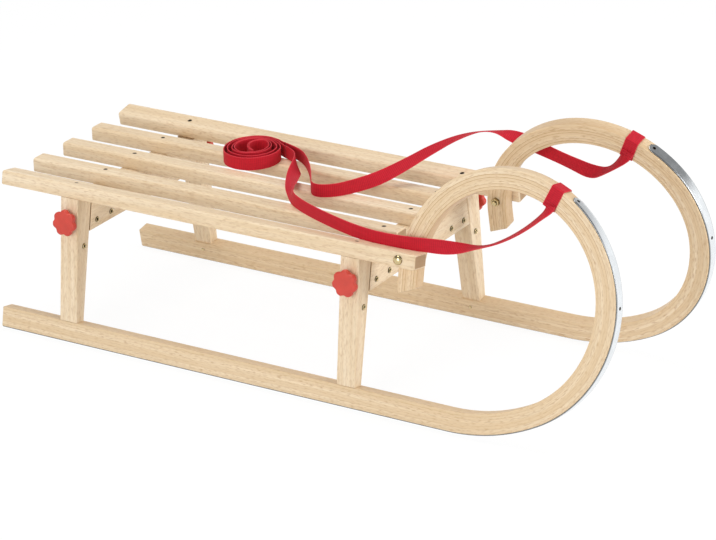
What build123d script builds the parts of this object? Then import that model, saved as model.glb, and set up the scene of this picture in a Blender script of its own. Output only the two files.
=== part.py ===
"""Folding horn sled: laminated runners that curl into horns, splayed legs, slatted seat and a webbing strap.

Millimetres. X points forwards, Y to the left and Z up, with the origin on the floor below the sled's middle.
"""
import os
from math import asin, cos, degrees, radians, sin, tan

from build123d import *

os.makedirs("parts", exist_ok=True)

RIGHT, LEFT = -1, 1

# Sled: from the slats' back ends to the front of the horns
overall_length = 1144
track_width = 441
runner_lean = 11

# Runners and horns: one bent piece of constant section
runner_height = 34
runner_width = 25
runner_set_in = 4
upsweep_radius = 325
upsweep_turn = 29
bow_radius = 222
horn_radius = 195.5
horn_end_length = 38
horn_end_cut = 14

# Running strips
strip_width = 20
strip_thickness = 2
strip_top_angle = 59

# Seat slats
slat_past_horn = 15
slat_width = 32
slat_thickness = 24
slat_edge = 5
slat_end_edge = 3
seat_height = 269
inner_slat_past_beam = 15.6
outer_slat_width = 37.5
outer_slat_rise = 4.2
outer_slat_overhang = 18.5

# Legs and cross beams
leg_width = 34.2
leg_inner = 21
rear_beam_from_back = 140
front_beam_from_front = 117
beam_thickness = 34.8
beam_height = 57.5
beam_end_gap = 2
frame_edge = 1.5

# Folding hinges: a cranked plate on each beam's rear face
pivot_drop = 19.8
pivot_inset = 8
plate_thickness = 3
plate_width = 20
plate_length = 41
plate_rise = 14
pivot_to_crank = 40
rivet_diameter = 7
rivet_end = 2
pivot_clearance = 0.2
running_clearance = 0.3

# Star knobs
knob_diameter = 45
knob_lobes = 7
knob_waist_diameter = 39.5
knob_head_height = 10
knob_collar_diameter = 22
knob_collar_height = 7
knob_drop = 5.5

# Bolts that hold the horns' ends to the outer slats
horn_bolt_diameter = 8
horn_bolt_head_diameter = 16
horn_bolt_head_height = 5
horn_bolt_end = 2.5
nut_width = 13
nut_height = 6.5

# Webbing strap
webbing_width = 23
webbing_thickness = 1.6
loop_angle = 66.5
loop_to_run = 1.6
strap_tube_width = 6
roll_length = 107
roll_width = 95
roll_turn = 98
roll_x, roll_y = -236.5, 72
roll_lift = 0.3
bend_share = 0.45

# The strap's two runs, from below the loop to the roll: x, y, z
STRAP_RIGHT = (
    (404, -142, 342),
    (362, -143, 312),
    (321, -146, 293),
    (276, -149, 285),
    (231, -152, 282.5),
    (188, -158, 281.5),
    (142, -159, 281),
    (96, -150.5, 281),
    (46, -134, 281),
    (1, -116, 281),
    (-37, -98.5, 281.5),
    (-70, -77, 282.5),
    (-97, -36, 282.5),
    (-120, 8, 282),
    (-149, 57, 281.5),
    (-170, 84, 281),
    (-191, 98.6, 281),
)
STRAP_LEFT = (
    (405, 120, 345),
    (374, 130, 334),
    (328, 143, 338.5),
    (277, 156, 344.5),
    (222, 165, 355),
    (173, 156, 365),
    (124, 140, 350),
    (80, 117, 325),
    (50, 92, 304),
    (18, 55, 285),
    (0, 12, 281),
    (-36, -25, 281),
    (-78, 10, 281),
    (-113, 53, 282),
    (-146, 86, 282),
    (-174, 102, 281.5),
    (-199, 111, 281),
)

# Places worked out from the sizes above
lean_cos, lean_sin = cos(radians(runner_lean)), sin(radians(runner_lean))
half_track = track_width / 2
x_back = -overall_length / 2
x_front = overall_length / 2 - strip_thickness
x_runner_back = x_back + runner_set_in
strip_inset = (runner_width - strip_width) / 2
sole_rise = (strip_inset + strip_width) * lean_sin + strip_thickness * lean_cos
bow_height = upsweep_radius - (upsweep_radius - bow_radius) * cos(radians(upsweep_turn))
horn_end_height = bow_height - horn_end_length
horn_middle = horn_radius - runner_height / 2
x_bow = x_front - bow_radius
x_upsweep = x_bow - (upsweep_radius - bow_radius) * sin(radians(upsweep_turn))
x_horn = x_front - horn_radius
x_limb_back = x_horn - horn_radius
x_limb_front = x_limb_back + runner_height
x_slat_front = x_limb_front + slat_past_horn
outer_slat_length = x_slat_front - x_back
x_rear_beam = x_back + rear_beam_from_back
x_front_beam = x_slat_front - front_beam_from_front
inner_slat_length = x_front_beam + beam_thickness / 2 + inner_slat_past_beam - x_back
x_draw_start = x_front - runner_height
limb_inset = outer_slat_width - outer_slat_overhang
limb_inner = limb_inset + runner_width
slat_under = seat_height - slat_thickness
beam_bottom = slat_under - beam_height
beam_middle = beam_bottom + beam_height / 2

SIDES = (("right", RIGHT, STRAP_RIGHT), ("left", LEFT, STRAP_LEFT))
BEAMS = (("front", x_front_beam), ("rear", x_rear_beam))


def side_plane(side, across=0):
    """Plane of a side frame: X forwards, Y up along the lean, at a depth inwards from the runner's outer face."""
    plane = Plane((0, side * half_track, sole_rise), (1, 0, 0), (0, -lean_cos, -side * lean_sin))
    return plane.offset(side * across)


def plan_plane(side):
    """Plane square to a side frame at the runner's sole: X forwards, Y to the left."""
    return Plane((0, side * half_track, sole_rise), (1, 0, 0), (0, -side * lean_sin, lean_cos))


def section_plane(side, x):
    """Plane across a side frame: X inwards from the runner's outer face, Y up along the lean."""
    return Plane((x, side * half_track, sole_rise), (0, -side * lean_cos, -lean_sin), (-side, 0, 0))


def side_point(across, height):
    """Distance from the middle plane and height above the floor of a point given in a side frame."""
    y = half_track - across * lean_cos - height * lean_sin
    z = sole_rise - across * lean_sin + height * lean_cos
    return y, z


def side_height(across, z):
    """Height in a side frame of a point given by its depth and its height above the floor."""
    return (z - sole_rise + across * lean_sin) / lean_cos


def beam_end_y(z):
    """Distance from the middle plane of the beams' ends, which run along the legs' inner faces."""
    across = leg_inner + beam_end_gap
    return side_point(across, side_height(across, z))[0]


def leg_outer(height):
    """Depth of the legs' tapered outer faces in the side frame, flush with the runner below and the slat above."""
    return -outer_slat_overhang * (height - runner_height) / (outer_slat_height - runner_height)


def leg_face(side, x, height):
    """Plane on a leg's outer face, looking outwards."""
    section = section_plane(side, x)
    slope = section.x_dir * leg_outer(outer_slat_height) + section.y_dir * (outer_slat_height - runner_height)
    origin = section.from_local_coords((leg_outer(height), height))
    return Plane(origin, (1, 0, 0), slope.cross(Vector(side, 0, 0)))


def horn_depth(x):
    """Depth of the horn's outer face in the side frame: drawn inwards from its front to its end."""
    share = (x_draw_start - x) / (x_draw_start - x_slat_front)
    return limb_inset * min(max(share, 0), 1)


def polar(centre_x, centre_height, radius, angle):
    """Point of a circle in a side frame, by its angle above the horizontal."""
    return centre_x + radius * cos(radians(angle)), centre_height + radius * sin(radians(angle))


def draw_sole(inset):
    """Lines parallel to the running face at a depth inside it, from the back end to the horn's front."""
    turn = upsweep_turn - 90
    sweep_start = (x_upsweep, inset)
    sweep_middle = polar(x_upsweep, upsweep_radius, upsweep_radius - inset, upsweep_turn / 2 - 90)
    bow_start = polar(x_bow, bow_height, bow_radius - inset, turn)
    bow_middle = polar(x_bow, bow_height, bow_radius - inset, turn / 2)
    Line((x_runner_back, inset), sweep_start)
    ThreePointArc(sweep_start, sweep_middle, bow_start)
    ThreePointArc(bow_start, bow_middle, (x_front - inset, bow_height))


def draw_lobe(angle):
    """One lobe of a knob's outline and the hollow after it, as two arcs between points half-way up the lobe."""
    step = 360 / knob_lobes
    crest, waist = knob_diameter / 2, knob_waist_diameter / 2
    start = polar(0, 0, (crest + waist) / 2, angle - step / 4)
    middle = polar(0, 0, (crest + waist) / 2, angle + step / 4)
    end = polar(0, 0, (crest + waist) / 2, angle + 3 * step / 4)
    ThreePointArc(start, polar(0, 0, crest, angle), middle)
    ThreePointArc(middle, polar(0, 0, waist, angle + step / 2), end)


def bend_radii(points):
    """Radius at each inner point of a route, as large as its two runs allow."""
    radii = []
    for before, here, after in zip(points, points[1:], points[2:]):
        arriving, leaving = here - before, after - here
        turn = radians(arriving.get_angle(leaving))
        radii.append(bend_share * min(arriving.length, leaving.length) / tan(turn / 2))
    return radii


# Heights in the side frames, from those of the seat and the beams above the floor
outer_slat_middle = outer_slat_width / 2 - outer_slat_overhang
outer_slat_height = side_height(outer_slat_middle, seat_height + outer_slat_rise) - slat_thickness
pivot_height = side_height(pivot_inset, beam_bottom - pivot_drop)
knob_height = side_height(0, beam_middle - knob_drop)
bolt_height = outer_slat_height + slat_thickness / 2
bolt_angle = asin(max(bolt_height - bow_height, 0) / horn_middle)
bolt_place = (x_horn - horn_middle * cos(bolt_angle), bolt_height)
slat_pitch = side_point(outer_slat_middle, bolt_height)[0] / 2

# Runners, running strips, horn bolts, outer slats and the strap, on each side
for side_name, side, strap_route in SIDES:
    with BuildPart() as runner:
        # The horn above its foremost point and its descending end
        with BuildSketch(side_plane(side)):
            with BuildLine():
                CenterArc((x_horn, bow_height), horn_radius, 0, 180)
                Polyline(
                    (x_limb_back, bow_height),
                    (x_limb_back, horn_end_height),
                    (x_limb_front - horn_end_cut, horn_end_height),
                    (x_limb_front, horn_end_height + horn_end_cut),
                    (x_limb_front, bow_height),
                )
                CenterArc((x_horn, bow_height), horn_radius - runner_height, 0, 180)
                Line((x_draw_start, bow_height), (x_front, bow_height))
            make_face()
        extrude(amount=side * limb_inner)
        # Drawn inwards to the inner face of the outer slat
        with BuildSketch(plan_plane(side)):
            with BuildLine():
                Polyline(
                    (x_front, 0),
                    (x_draw_start, 0),
                    (x_slat_front, -side * limb_inset),
                    (x_limb_back, -side * limb_inset),
                    (x_limb_back, -side * limb_inner),
                    (x_slat_front, -side * limb_inner),
                    (x_draw_start, -side * runner_width),
                    (x_front, -side * runner_width),
                    close=True,
                )
            make_face()
        extrude(amount=bow_height + horn_radius, mode=Mode.INTERSECT)
        # The runner and the bow up to the horn's foremost point
        with BuildSketch(side_plane(side)):
            with BuildLine():
                draw_sole(0)
                Line((x_front, bow_height), (x_draw_start, bow_height))
                draw_sole(runner_height)
                Line((x_runner_back, runner_height), (x_runner_back, 0))
            make_face()
        extrude(amount=side * runner_width)
        with BuildSketch(side_plane(side, limb_inset)):
            with Locations(bolt_place):
                Circle(horn_bolt_diameter / 2)
        extrude(amount=side * runner_width, mode=Mode.SUBTRACT)
    runner.part.label = f"runner_{side_name}"
    export_step(runner.part, f"parts/runner_{side_name}.step")

    with BuildPart() as strip:
        strip_top = polar(x_horn, bow_height, horn_radius, strip_top_angle)
        strip_top_outer = polar(x_horn, bow_height, horn_radius + strip_thickness, strip_top_angle)
        with BuildSketch(side_plane(side, strip_inset)):
            with BuildLine():
                draw_sole(0)
                CenterArc((x_horn, bow_height), horn_radius, 0, strip_top_angle)
                Line(strip_top, strip_top_outer)
                CenterArc((x_horn, bow_height), horn_radius + strip_thickness, 0, strip_top_angle)
                draw_sole(-strip_thickness)
                Line((x_runner_back, 0), (x_runner_back, -strip_thickness))
            make_face()
        extrude(amount=side * strip_width)
    strip.part.label = f"running_strip_{side_name}"
    export_step(strip.part, f"parts/running_strip_{side_name}.step")

    with BuildPart() as outer_slat:
        with BuildSketch(section_plane(side, x_back + outer_slat_length / 2)):
            with Locations((outer_slat_middle, bolt_height)):
                Rectangle(outer_slat_width, slat_thickness)
        extrude(amount=outer_slat_length / 2, both=True)
        frame_up = Axis(side_plane(side).origin, side_plane(side).y_dir)
        fillet(outer_slat.edges().filter_by(Axis.X).group_by(frame_up)[-1], slat_edge)
        end_edges = outer_slat.faces().filter_by(Axis.X).edges().filter_by(GeomType.LINE)
        chamfer(end_edges.group_by(frame_up)[-1], slat_end_edge)
        with BuildSketch(side_plane(side, -outer_slat_overhang)):
            with Locations(bolt_place):
                Circle(horn_bolt_diameter / 2)
        extrude(amount=side * outer_slat_width, mode=Mode.SUBTRACT)
    outer_slat.part.label = f"slat_outer_{side_name}"
    export_step(outer_slat.part, f"parts/slat_outer_{side_name}.step")

    with BuildPart() as bolt:
        with BuildSketch(side_plane(side, -outer_slat_overhang)):
            with Locations(bolt_place):
                Circle(horn_bolt_head_diameter / 2)
        extrude(amount=-side * horn_bolt_head_height)
        with BuildSketch(side_plane(side, -outer_slat_overhang)):
            with Locations(bolt_place):
                Circle(horn_bolt_diameter / 2)
        extrude(amount=side * (outer_slat_width + runner_width + nut_height + horn_bolt_end))
    bolt.part.label = f"horn_bolt_{side_name}"
    export_step(bolt.part, f"parts/horn_bolt_{side_name}.step")

    with BuildPart() as nut:
        with BuildSketch(side_plane(side, limb_inner)):
            with Locations(bolt_place):
                RegularPolygon(nut_width / 2, 6, major_radius=False)
                Circle(horn_bolt_diameter / 2, mode=Mode.SUBTRACT)
        extrude(amount=side * nut_height)
    nut.part.label = f"horn_nut_{side_name}"
    export_step(nut.part, f"parts/horn_nut_{side_name}.step")

    with BuildPart() as loop:
        loop_span = degrees(webbing_width / horn_middle)
        loop_depth = horn_depth(polar(x_horn, bow_height, horn_middle, loop_angle)[0])
        span_slope = webbing_width * limb_inset / (x_draw_start - x_slat_front) / 2
        reach = horn_radius + webbing_thickness
        inner_reach = horn_radius - runner_height - webbing_thickness
        with BuildSketch(side_plane(side, loop_depth - span_slope - webbing_thickness)):
            with BuildLine():
                for radius in (reach, inner_reach):
                    CenterArc((x_horn, bow_height), radius, loop_angle - loop_span / 2, loop_span)
                for angle in (loop_angle - loop_span / 2, loop_angle + loop_span / 2):
                    Line(polar(x_horn, bow_height, inner_reach, angle), polar(x_horn, bow_height, reach, angle))
            make_face()
        extrude(amount=side * (runner_width + 2 * span_slope + 2 * webbing_thickness))
        add(runner.part, mode=Mode.SUBTRACT)
    loop.part.label = f"strap_loop_{side_name}"
    export_step(loop.part, f"parts/strap_loop_{side_name}.step")

    with BuildPart() as strap_run:
        start_x, start_height = polar(x_horn, bow_height, inner_reach - loop_to_run, loop_angle)
        start_depth = horn_depth(start_x) + (runner_width if side == LEFT else 0)
        start_y, start_z = side_point(start_depth, start_height)
        route = [Vector(start_x, side * start_y, start_z)] + [Vector(*point) for point in strap_route]
        radii = bend_radii(route)
        with BuildLine() as path:
            FilletPolyline(*route, radius=radii)
        with BuildSketch(Plane(route[0], z_dir=route[1] - route[0])):
            Rectangle(strap_tube_width, strap_tube_width)
        sweep()
    print(side_name, "strap run", round(path.wire().length), "bend radii", [round(radius) for radius in radii])
    strap_run.part.label = f"strap_run_{side_name}"
    export_step(strap_run.part, f"parts/strap_run_{side_name}.step")

# The strap's rolled-up length, standing on the slats
with BuildPart() as strap_roll:
    with BuildSketch(Plane((roll_x, roll_y, seat_height + roll_lift))):
        SlotOverall(roll_length, roll_width, rotation=roll_turn)
    extrude(amount=webbing_width)
strap_roll.part.label = "strap_roll"
export_step(strap_roll.part, "parts/strap_roll.step")

# Inner slats, flat on the beams
INNER_SLATS = (("slat_inner_right", -slat_pitch), ("slat_middle", 0), ("slat_inner_left", slat_pitch))
for slat_name, slat_y in INNER_SLATS:
    with BuildPart() as slat:
        with BuildSketch(Plane.YZ.offset(x_back)):
            with Locations((slat_y, slat_under + slat_thickness / 2)):
                Rectangle(slat_width, slat_thickness)
        extrude(amount=inner_slat_length)
        fillet(slat.edges().filter_by(Axis.X).group_by(Axis.Z)[-1], slat_edge)
        end_edges = slat.faces().filter_by(Axis.X).edges().filter_by(GeomType.LINE)
        chamfer(end_edges.group_by(Axis.Z)[-1], slat_end_edge)
    slat.part.label = slat_name
    export_step(slat.part, f"parts/{slat_name}.step")

# Cross beams, their ends parallel to the legs
beam_low_y, beam_top_y = beam_end_y(beam_bottom), beam_end_y(slat_under)
for beam_name, beam_x in BEAMS:
    with BuildPart() as beam:
        with BuildSketch(Plane.YZ.offset(beam_x)):
            with BuildLine():
                Polyline(
                    (-beam_low_y, beam_bottom),
                    (beam_low_y, beam_bottom),
                    (beam_top_y, slat_under),
                    (-beam_top_y, slat_under),
                    close=True,
                )
            make_face()
        extrude(amount=beam_thickness / 2, both=True)
        chamfer(beam.edges().filter_by(Axis.Y), frame_edge)
    beam.part.label = f"beam_{beam_name}"
    export_step(beam.part, f"parts/beam_{beam_name}.step")

# Legs, hinge plates, pivot rivets and knobs at the four corners
pivot_y, pivot_z = side_point(pivot_inset, pivot_height)
crank_y = pivot_y - pivot_to_crank
plate_z = beam_bottom + plate_rise
plate_back = beam_thickness / 2 + plate_thickness
leg_front = leg_width / 2 + running_clearance
for beam_name, beam_x in BEAMS:
    for side_name, side, strap_route in SIDES:
        corner = f"{beam_name}_{side_name}"
        pivot = (side * pivot_y, pivot_z)
        crank = (side * crank_y, plate_z)
        plate_end = (side * (crank_y - plate_length), plate_z)

        with BuildPart() as leg:
            with BuildSketch(section_plane(side, beam_x)):
                with BuildLine():
                    Polyline(
                        (0, runner_height),
                        (leg_inner, runner_height),
                        (leg_inner, outer_slat_height),
                        (-outer_slat_overhang, outer_slat_height),
                        close=True,
                    )
                make_face()
                with Locations((pivot_inset, pivot_height)):
                    Circle(rivet_diameter / 2 + pivot_clearance, mode=Mode.SUBTRACT)
            extrude(amount=leg_width / 2, both=True)
            upright = leg.faces().filter_by(Axis.X).edges().filter_by(GeomType.LINE)
            chamfer([edge for edge in upright if edge.length > runner_height + leg_width], frame_edge)
        leg.part.label = f"leg_{corner}"
        export_step(leg.part, f"parts/leg_{corner}.step")

        with BuildPart() as plate:
            with BuildSketch(Plane.YZ.offset(beam_x - plate_back)):
                for first, second in ((crank, plate_end), (pivot, crank)):
                    middle = (Vector(*first) + Vector(*second)) / 2
                    SlotCenterPoint(middle, second, plate_width)
                with Locations(pivot):
                    Circle(rivet_diameter / 2, mode=Mode.SUBTRACT)
            extrude(amount=plate_thickness)
        plate.part.label = f"hinge_plate_{corner}"
        export_step(plate.part, f"parts/hinge_plate_{corner}.step")

        with BuildPart() as pivot_rivet:
            with BuildSketch(Plane.YZ.offset(beam_x - plate_back - rivet_end)):
                with Locations(pivot):
                    Circle(rivet_diameter / 2)
            extrude(amount=plate_back + leg_front + 2 * rivet_end)
        pivot_rivet.part.label = f"pivot_rivet_{corner}"
        export_step(pivot_rivet.part, f"parts/pivot_rivet_{corner}.step")

        knob_plane = leg_face(side, beam_x, knob_height)
        with BuildPart() as knob:
            with BuildSketch(knob_plane):
                Circle(knob_collar_diameter / 2)
            extrude(amount=knob_collar_height)
            with BuildSketch(knob_plane.offset(knob_collar_height)):
                with BuildLine():
                    for lobe in range(knob_lobes):
                        draw_lobe(90 + lobe * 360 / knob_lobes)
                make_face()
            extrude(amount=knob_head_height)
        knob.part.label = f"knob_{corner}"
        export_step(knob.part, f"parts/knob_{corner}.step")
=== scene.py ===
"""Looks of a folding horn sled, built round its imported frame: lacquered beech, steel, moulded knobs and webbing."""
from math import asin, cos, radians, sin, sqrt, tau

import bmesh
import bpy
import numpy as np
from bpy.props import FloatProperty, FloatVectorProperty, PointerProperty
from mathutils import Matrix, Vector


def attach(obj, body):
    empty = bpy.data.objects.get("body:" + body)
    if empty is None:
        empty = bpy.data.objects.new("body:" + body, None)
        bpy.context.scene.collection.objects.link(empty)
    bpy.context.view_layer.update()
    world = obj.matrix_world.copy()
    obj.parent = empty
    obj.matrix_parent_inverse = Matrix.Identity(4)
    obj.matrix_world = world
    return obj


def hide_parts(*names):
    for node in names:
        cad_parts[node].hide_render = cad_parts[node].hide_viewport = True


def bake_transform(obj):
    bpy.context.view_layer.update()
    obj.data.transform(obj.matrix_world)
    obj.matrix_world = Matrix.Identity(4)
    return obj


bl_info = {
    "name": "Horn sled looks",
    "version": (1, 0, 0),
    "blender": (4, 5, 0),
    "location": "3D View > Sidebar > Horn sled",
    "description": "Dresses the packed horn sled in wood, steel, plastic and webbing",
    "category": "Object",
}

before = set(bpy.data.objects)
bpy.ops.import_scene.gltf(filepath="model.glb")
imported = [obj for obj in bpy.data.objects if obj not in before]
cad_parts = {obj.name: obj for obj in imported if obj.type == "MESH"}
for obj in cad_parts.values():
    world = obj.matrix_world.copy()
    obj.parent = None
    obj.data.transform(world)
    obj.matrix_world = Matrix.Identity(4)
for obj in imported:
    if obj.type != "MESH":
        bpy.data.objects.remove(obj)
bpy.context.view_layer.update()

MM = 0.001
SIDES = (("right", -1), ("left", 1))

# Sizes of the frame in millimetres, as the solids have them
LEAN = radians(11)
LEAN_COS, LEAN_SIN = cos(LEAN), sin(LEAN)
HALF_TRACK = 220.5
RUNNER_DEPTH, RUNNER_WIDTH = 34, 25
STRIP_WIDTH, STRIP_THICKNESS, STRIP_END = 20, 2, 59
SOLE_RISE = (RUNNER_WIDTH + STRIP_WIDTH) / 2 * LEAN_SIN + STRIP_THICKNESS * LEAN_COS
X_RUNNER_BACK = -568
UPSWEEP_RADIUS, UPSWEEP_TURN, BOW_RADIUS, HORN_RADIUS = 325, 29, 222, 195.5
HORN_MIDDLE_RADIUS = HORN_RADIUS - RUNNER_DEPTH / 2
BOW_HEIGHT = UPSWEEP_RADIUS - (UPSWEEP_RADIUS - BOW_RADIUS) * cos(radians(UPSWEEP_TURN))
X_BOW, X_HORN = 348, 374.5
X_UPSWEEP = X_BOW - (UPSWEEP_RADIUS - BOW_RADIUS) * sin(radians(UPSWEEP_TURN))
X_LIMB_BACK = X_HORN - HORN_RADIUS
LIMB_DROP, LIMB_CUT = 38, 14
X_DRAW_START, X_SLAT_FRONT, X_INNER_FRONT, X_BACK = 536, 228, 144, -572
SLAT_WIDTH, SLAT_THICKNESS, SEAT_HEIGHT = 32, 24, 269
OUTER_SLAT_WIDTH, SLAT_OVERHANG, OUTER_SLAT_RISE = 37.5, 18.5, 4.2
LIMB_INSET = OUTER_SLAT_WIDTH - SLAT_OVERHANG
BEAMS = (("front", 111), ("rear", -432))
BEAM_THICKNESS, BEAM_BOTTOM, BEAM_TOP, BEAM_GAP = 34.8, 187.5, 245, 2
LEG_WIDTH, LEG_INNER, LEG_PIN_HEIGHT = 34.2, 21, 21
PLATE_THICKNESS, PLATE_HEIGHT = 3, 201.5
BEAM_RIVETS = (100, 141)
PIVOT_Y, PIVOT_Z = 181, 167.7
NUT_WIDTH, NUT_HEIGHT, BOLT_PROUD = 13, 6.5, 2.5
KNOB_DROP = 5.5
WEBBING_WIDTH, WEBBING_THICKNESS = 23, 1.6
LOOP_ANGLE = 66.5

# Camera that stands where the photograph was taken: its place in millimetres, the way it is turned, and its lens
CAMERA_PLACE = (2642.916, -4270.220, 2243.324)
CAMERA_RIGHT = (0.855658, 0.517062, -0.022282)
CAMERA_UP = (-0.182348, 0.341491, 0.922027)
CAMERA_AHEAD = (-0.484355, 0.784876, -0.386484)
CAMERA_LENS, CAMERA_SENSOR = 166.03, 36


def side_height(across, z):
    """Height in a side frame of a point given by its depth and its height above the floor."""
    return (z - SOLE_RISE + across * LEAN_SIN) / LEAN_COS


def side_point(side, x, height, across):
    """Point in metres given in a side frame: height along the lean, across inwards from the runner's outer face."""
    y = HALF_TRACK - across * LEAN_COS - height * LEAN_SIN
    z = SOLE_RISE - across * LEAN_SIN + height * LEAN_COS
    return Vector((x, side * y, z)) * MM


SLAT_MIDDLE = OUTER_SLAT_WIDTH / 2 - SLAT_OVERHANG
OUTER_SLAT_HEIGHT = side_height(SLAT_MIDDLE, SEAT_HEIGHT + OUTER_SLAT_RISE) - SLAT_THICKNESS
BOLT_HEIGHT = OUTER_SLAT_HEIGHT + SLAT_THICKNESS / 2
X_BOLT = X_HORN - HORN_MIDDLE_RADIUS * cos(asin((BOLT_HEIGHT - BOW_HEIGHT) / HORN_MIDDLE_RADIUS))
SLAT_PITCH = abs(side_point(1, 0, BOLT_HEIGHT, SLAT_MIDDLE).y) / MM / 2
KNOB_HEIGHT = side_height(0, (BEAM_BOTTOM + BEAM_TOP) / 2 - KNOB_DROP)

# The strap's two runs from the horns' loops to the roll:
# place in millimetres, and the way that one edge of the webbing points
RUN_RIGHT = (
    (441, -142, 378, 0.46, -0.88, -0.2),
    (404, -142, 342, 0.16, -0.97, -0.18),
    (362, -143, 312, 0.05, -1, -0.03),
    (321, -146, 293, 0, -0.97, 0.2),
    (276, -149, 285, 0, -0.75, -0.66),
    (231, -152, 282.5, 0, -0.1, -0.99),
    (188, -158, 281.5, 0, 0, -1),
    (142, -159, 281, 0, 0, -1),
    (96, -150.5, 281, 0, 0, -1),
    (46, -134, 281, 0, 0, -1),
    (1, -116, 281, 0, 0, -1),
    (-37, -98.5, 281.5, 0, 0, -1),
    (-66, -80, 282, -0.05, -0.03, -1),
    (-85, -52, 282.5, -0.45, -0.27, -0.85),
    (-101, -26, 282.5, -0.8, -0.48, -0.35),
    (-118, 7, 282, -0.86, -0.5, 0),
    (-136, 46, 282, -0.45, -0.27, 0.85),
    (-152, 70, 282, -0.1, -0.06, 0.99),
    (-168, 87, 281.5, 0, 0, 1),
    (-191, 98.6, 281, 0, 0, 1),
)
RUN_LEFT = (
    (440, 117, 378, 0.75, -0.6, -0.3),
    (405, 120, 345, 0.1, -0.99, -0.1),
    (374, 130, 334, 0, -0.6, -0.8),
    (328, 143, 338.5, 0, 0, -1),
    (277, 156, 344.5, 0, 0, -1),
    (222, 165, 355, 0, -0.6, -0.8),
    (173, 156, 365, 0.2, -0.9, 0.5),
    (124, 140, 350, 0.2, -0.95, -0.1),
    (80, 117, 325, 0.3, -0.75, -0.5),
    (50, 92, 304, 0.3, -0.7, -0.6),
    (18, 55, 285, 0.3, -0.5, -0.8),
    (-6, 14, 281, 0.15, -0.2, -0.95),
    (-26, -20, 281, 0, 0, -1),
    (-58, -34, 281, 0, 0, -1),
    (-82, 6, 281, 0, 0, -1),
    (-113, 50, 282, 0, 0, -1),
    (-146, 86, 282, 0, 0, -1),
    (-174, 102, 281.5, 0, 0, -1),
    (-199, 111, 281, 0, 0, -1),
)

# How far a run starts above the horn's inner face, and how far run and stitches lie off its flank
RUN_START = {"right": 5.4, "left": 15}
RUN_OFF, STITCH_OFF = 2.6, 3.5

# The rolled-up length, two layers wound together: angle in degrees and how far each layer lies from the middle
ROLL_MIDDLE = (-236.5, 72)
ROLL_CLEAR = 0.3
ROLL_IN, ROLL_OUT = (-212, 115.5), (-205, 106)
ROLL_FOLD = ((-228.6, 54.2), (-227.4, 55.8))
ROLL = (
    (66, 51.5, 48), (94, 52.4, 48), (120, 52.2, 47.8), (160, 51, 47), (200, 51, 46.5), (232, 55, 47),
    (258, 57.5, 47), (282, 58, 47), (305, 56.5, 46), (335, 52.6, 42.5), (364, 48, 40), (392, 46, 40),
    (425, 43, 38.5), (450, 43.5, 40.5), (480, 43, 40), (520, 41, 38), (560, 38.5, 35), (590, 38, 33),
    (618, 37, 33.5), (646, 33.5, 29), (689, 30.5, 25.5), (728, 28.5, 23.5), (766, 31.5, 27), (801, 37, 34),
    (823, 36.5, 33.5), (847, 29, 26), (879, 18, 15), (943, 11, 8.5), (1000, 15, 12.5),
)


def linear(code):
    """Linear colour of an sRGB hex code."""
    parts = [int(code[i:i + 2], 16) / 255 for i in (1, 3, 5)]
    return tuple(c / 12.92 if c <= 0.04045 else ((c + 0.055) / 1.055) ** 2.4 for c in parts)


class SledWood(bpy.types.PropertyGroup):
    """Colours and edges of the beech"""

    pale: FloatVectorProperty(
        name="Pale", description="Early wood, the ground colour", subtype="COLOR", default=linear("#F4E1C4"))
    deep: FloatVectorProperty(
        name="Deep", description="Late wood, in the rings", subtype="COLOR", default=linear("#DDC096"))
    fleck: FloatVectorProperty(
        name="Fleck", description="Short rays on the planed faces", subtype="COLOR", default=linear("#B98F5E"))
    end: FloatVectorProperty(
        name="End grain", description="Cut ends, which take up more lacquer", subtype="COLOR",
        default=linear("#9E784D"))
    layer: FloatProperty(
        name="Layer", description="Thickness of one layer of the bent runners", default=4.9 * MM, unit="LENGTH")


class SledMetal(bpy.types.PropertyGroup):
    """Colours of the steel"""

    galvanised: FloatVectorProperty(
        name="Galvanised", description="Running strips", subtype="COLOR", default=linear("#EEF2F5"))
    zinc: FloatVectorProperty(
        name="Zinc", description="Hinge plates", subtype="COLOR", default=linear("#C4C2BC"))
    yellow: FloatVectorProperty(
        name="Yellow zinc", description="Bolts, nuts, rivets and pins", subtype="COLOR", default=linear("#D3BF91"))
    dark: FloatVectorProperty(
        name="Phosphated", description="Screws", subtype="COLOR", default=linear("#3A332D"))


class SledKnob(bpy.types.PropertyGroup):
    """Colour and lobes of the knobs"""

    colour: FloatVectorProperty(
        name="Plastic", description="Moulded through and through", subtype="COLOR", default=linear("#CE4031"))
    diameter: FloatProperty(
        name="Diameter", description="Over the lobes", default=45 * MM, unit="LENGTH")
    dip: FloatProperty(
        name="Dip", description="Depth of the hollows between lobes", default=3.1 * MM, unit="LENGTH")


class SledStrap(bpy.types.PropertyGroup):
    """Colour and weave of the strap"""

    colour: FloatVectorProperty(
        name="Webbing", description="Dyed polyester", subtype="COLOR", default=linear("#C81129"))
    rib: FloatProperty(
        name="Rib", description="Spacing of the ribs across the band", default=3.2 * MM, unit="LENGTH")


class SledStage(bpy.types.PropertyGroup):
    """Light and floor"""

    ambient: FloatProperty(name="Ambient", description="Light from all round", default=0.5)
    key: FloatProperty(name="Key", description="Large lamp before the near side", default=50, unit="POWER")
    fill: FloatProperty(name="Fill", description="Lamp before the horns", default=46, unit="POWER")
    top: FloatProperty(name="Top", description="Lamp overhead", default=55, unit="POWER")
    floor: FloatProperty(name="Floor", description="Side of the floor", default=14, unit="LENGTH")


def add(tree, kind, inputs=None, **settings):
    """Adds a node, sets its settings and fills its inputs with values or with links from other nodes' outputs."""
    node = tree.nodes.new(kind)
    for name, value in settings.items():
        setattr(node, name, value)
    for name, value in (inputs or {}).items():
        if isinstance(value, bpy.types.NodeSocket):
            tree.links.new(value, node.inputs[name])
        else:
            node.inputs[name].default_value = value
    return node.outputs


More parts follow.
